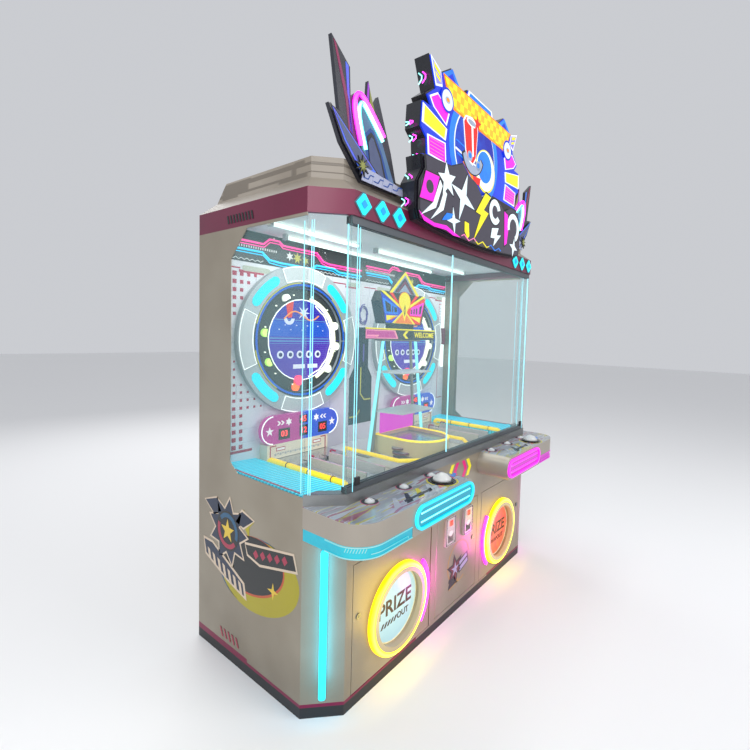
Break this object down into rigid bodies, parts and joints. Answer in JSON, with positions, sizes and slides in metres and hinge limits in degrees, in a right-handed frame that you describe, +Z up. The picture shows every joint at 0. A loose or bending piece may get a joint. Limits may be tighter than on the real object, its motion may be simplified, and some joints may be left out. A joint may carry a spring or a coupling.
{
  "type": "coin pusher machine",
  "caption": "Two-player coin pusher cabinet with chamfered glazed playfield, side consoles, prize doors, illuminated sign and roof wings.",
  "frame": {"origin": "middle of the cabinet's base board, on the floor", "axes": "+X to the right as the players see it, +Y to the back, +Z up"},
  "size_m": [2.104, 1.167, 2.955],
  "materials": {
    "panel_taupe": "taupe metallic powder coat, satin",
    "door_taupe": "taupe metallic powder coat on folded sheet, satin",
    "maroon_band": "maroon satin paint",
    "black_plinth": "black textured",
    "base_wood": "plywood board",
    "frame_tube": "black painted square tube",
    "sill_grey": "satin grey",
    "track_dark": "dark anodised",
    "clear_glass": "clear tempered glass, polished edges",
    "roof_light": "light taupe moulded shell with printed stripes",
    "ceiling_white": "white laminate",
    "sign_black": "black light box with printed sides",
    "sign_print": "back-lit printed acrylic",
    "wing_print": "printed acrylic",
    "led_tube": "lit LED neon tube",
    "console_shell": "silver grey moulded shell",
    "deck_print": "printed polycarbonate",
    "black_plastic": "black moulded plastic",
    "white_dome": "white translucent plastic",
    "white_wall": "white printed board with magenta dots",
    "bezel_grey": "grey moulded bezel with lit windows",
    "screen": "lit display behind glass",
    "board_print": "back-lit printed acrylic",
    "coin_wall_print": "printed white plastic",
    "bed_grey": "pale grey laminate",
    "pusher_metal": "brushed",
    "crank_steel": "turned steel",
    "motor_black": "black cast housing",
    "tower_metal": "satin tube",
    "shelf_frost": "translucent acrylic",
    "tray_cream": "cream moulded tray with holographic top",
    "shelf_cyan": "cyan ribbed lit panel",
    "yellow_pipe": "yellow gloss paint",
    "neon_yellow": "lit LED neon ring",
    "flap_print": "back-lit printed flap",
    "lock_chrome": "chrome",
    "coin_plate": "moulded coin plate",
    "reject_red": "lit red button",
    "selector_black": "black moulded housing",
    "box_zinc": "zinc plated sheet",
    "bin_white": "white plastic bin"
  },
  "bodies": {
    "cabinet": {"base_board": "base_wood", "plinth": "black_plinth", "base_frame": "frame_tube", "side_panels": "panel_taupe", "back_panel": "base_wood", "front_fascia": "door_taupe", "sill_ledge": "sill_grey", "glass_tracks": "track_dark", "fixed_glass": "clear_glass", "header_band": "maroon_band", "roof_cover": "roof_light", "ceiling_panel": "ceiling_white", "marquee_box": "sign_black", "marquee_face": "sign_print", "roof_wings": "wing_print", "led_tubes": "led_tube", "console_shells": "console_shell", "console_decks": "deck_print", "button_bezels": "black_plastic", "coin_inlets": "white_dome", "playfield_deck": "base_wood", "playfield_wall": "white_wall", "display_bezels": "bezel_grey", "display_screens": "screen", "jackpot_boards": "board_print", "coin_walls": "coin_wall_print", "pusher_beds": "bed_grey", "gearmotors": "motor_black", "tower_frame": "tower_metal", "tower_shelves": "shelf_frost", "tower_sign": "sign_print", "prize_tray": "tray_cream", "side_shelves": "shelf_cyan", "guard_pipes": "yellow_pipe", "cash_box": "box_zinc", "coin_hoppers": "box_zinc", "power_supply": "box_zinc", "prize_bins": "bin_white"},
    "pane_left": {"glass_pane_left": "clear_glass"},
    "pane_right": {"glass_pane_right": "clear_glass"},
    "prize_door_left": {"prize_door_left": "door_taupe", "prize_ring_left": "neon_yellow"},
    "prize_door_right": {"prize_door_right": "door_taupe", "prize_ring_right": "neon_yellow"},
    "prize_flap_left": {"prize_flap_left": "flap_print"},
    "prize_flap_right": {"prize_flap_right": "flap_print"},
    "lock_left": {"door_lock_left": "lock_chrome"},
    "lock_right": {"door_lock_right": "lock_chrome"},
    "lock_coin": {"door_lock_coin": "lock_chrome"},
    "coin_door": {"coin_door": "door_taupe", "coin_plates": "coin_plate", "coin_selectors": "selector_black"},
    "reject_left": {"reject_button_left": "reject_red"},
    "reject_right": {"reject_button_right": "reject_red"},
    "button_left": {"player_button_left": "white_dome"},
    "button_right": {"player_button_right": "white_dome"},
    "pusher_left": {"pusher_left": "pusher_metal"},
    "pusher_right": {"pusher_right": "pusher_metal"},
    "crank_left": {"crank_left": "crank_steel"},
    "crank_right": {"crank_right": "crank_steel"}
  },
  "joints": [
    {"name": "pane_slide_left", "type": "slide", "parent": "cabinet", "child": "pane_left", "axis": [1, 0, 0], "range_m": [0, 0.79]},
    {"name": "pane_slide_right", "type": "slide", "parent": "cabinet", "child": "pane_right", "axis": [-1, 0, 0], "range_m": [0, 0.775]},
    {"name": "prize_door_hinge_left", "type": "hinge", "parent": "cabinet", "child": "prize_door_left", "pos_m": [-0.293, -0.469, 0.35], "axis": [0, 0, 1], "range_deg": [0, 90]},
    {"name": "prize_flap_hinge_left", "type": "hinge", "parent": "prize_door_left", "child": "prize_flap_left", "pos_m": [-0.56, -0.453, 0.495], "axis": [1, 0, 0], "range_deg": [0, 60]},
    {"name": "lock_turn_left", "type": "hinge", "parent": "prize_door_left", "child": "lock_left", "pos_m": [-0.845, -0.469, 0.4], "axis": [0, 1, 0], "range_deg": [0, 90]},
    {"name": "prize_door_hinge_right", "type": "hinge", "parent": "cabinet", "child": "prize_door_right", "pos_m": [0.293, -0.469, 0.35], "axis": [0, 0, -1], "range_deg": [0, 90]},
    {"name": "prize_flap_hinge_right", "type": "hinge", "parent": "prize_door_right", "child": "prize_flap_right", "pos_m": [0.56, -0.453, 0.495], "axis": [1, 0, 0], "range_deg": [0, 60]},
    {"name": "lock_turn_right", "type": "hinge", "parent": "prize_door_right", "child": "lock_right", "pos_m": [0.845, -0.469, 0.4], "axis": [0, -1, 0], "range_deg": [0, 90]},
    {"name": "coin_door_hinge", "type": "hinge", "parent": "cabinet", "child": "coin_door", "pos_m": [-0.22, -0.469, 0.35], "axis": [0, 0, -1], "range_deg": [0, 90]},
    {"name": "lock_turn_coin", "type": "hinge", "parent": "coin_door", "child": "lock_coin", "pos_m": [0.179, -0.469, 0.39], "axis": [0, -1, 0], "range_deg": [0, 90]},
    {"name": "reject_press_left", "type": "slide", "parent": "coin_door", "child": "reject_left", "axis": [0, 1, 0], "range_m": [0, 0.004], "stiffness_N_per_m": 400, "springref_m": -0.003},
    {"name": "button_press_left", "type": "slide", "parent": "cabinet", "child": "button_left", "axis": [0, 0, -1], "range_m": [0, 0.005], "stiffness_N_per_m": 1500, "springref_m": -0.01},
    {"name": "pusher_slide_left", "type": "slide", "parent": "cabinet", "child": "pusher_left", "axis": [0, -1, 0], "range_m": [0, 0.06]},
    {"name": "crank_spin_left", "type": "hinge", "parent": "cabinet", "child": "crank_left", "pos_m": [-0.575, 0.2, 0.89], "axis": [0, 0, 1], "continuous": true},
    {"name": "reject_press_right", "type": "slide", "parent": "coin_door", "child": "reject_right", "axis": [0, 1, 0], "range_m": [0, 0.004], "stiffness_N_per_m": 400, "springref_m": -0.003},
    {"name": "button_press_right", "type": "slide", "parent": "cabinet", "child": "button_right", "axis": [0, 0, -1], "range_m": [0, 0.005], "stiffness_N_per_m": 1500, "springref_m": -0.01},
    {"name": "pusher_slide_right", "type": "slide", "parent": "cabinet", "child": "pusher_right", "axis": [0, -1, 0], "range_m": [0, 0.06]},
    {"name": "crank_spin_right", "type": "hinge", "parent": "cabinet", "child": "crank_right", "pos_m": [0.575, 0.2, 0.89], "axis": [0, 0, 1], "continuous": true}
  ]
}
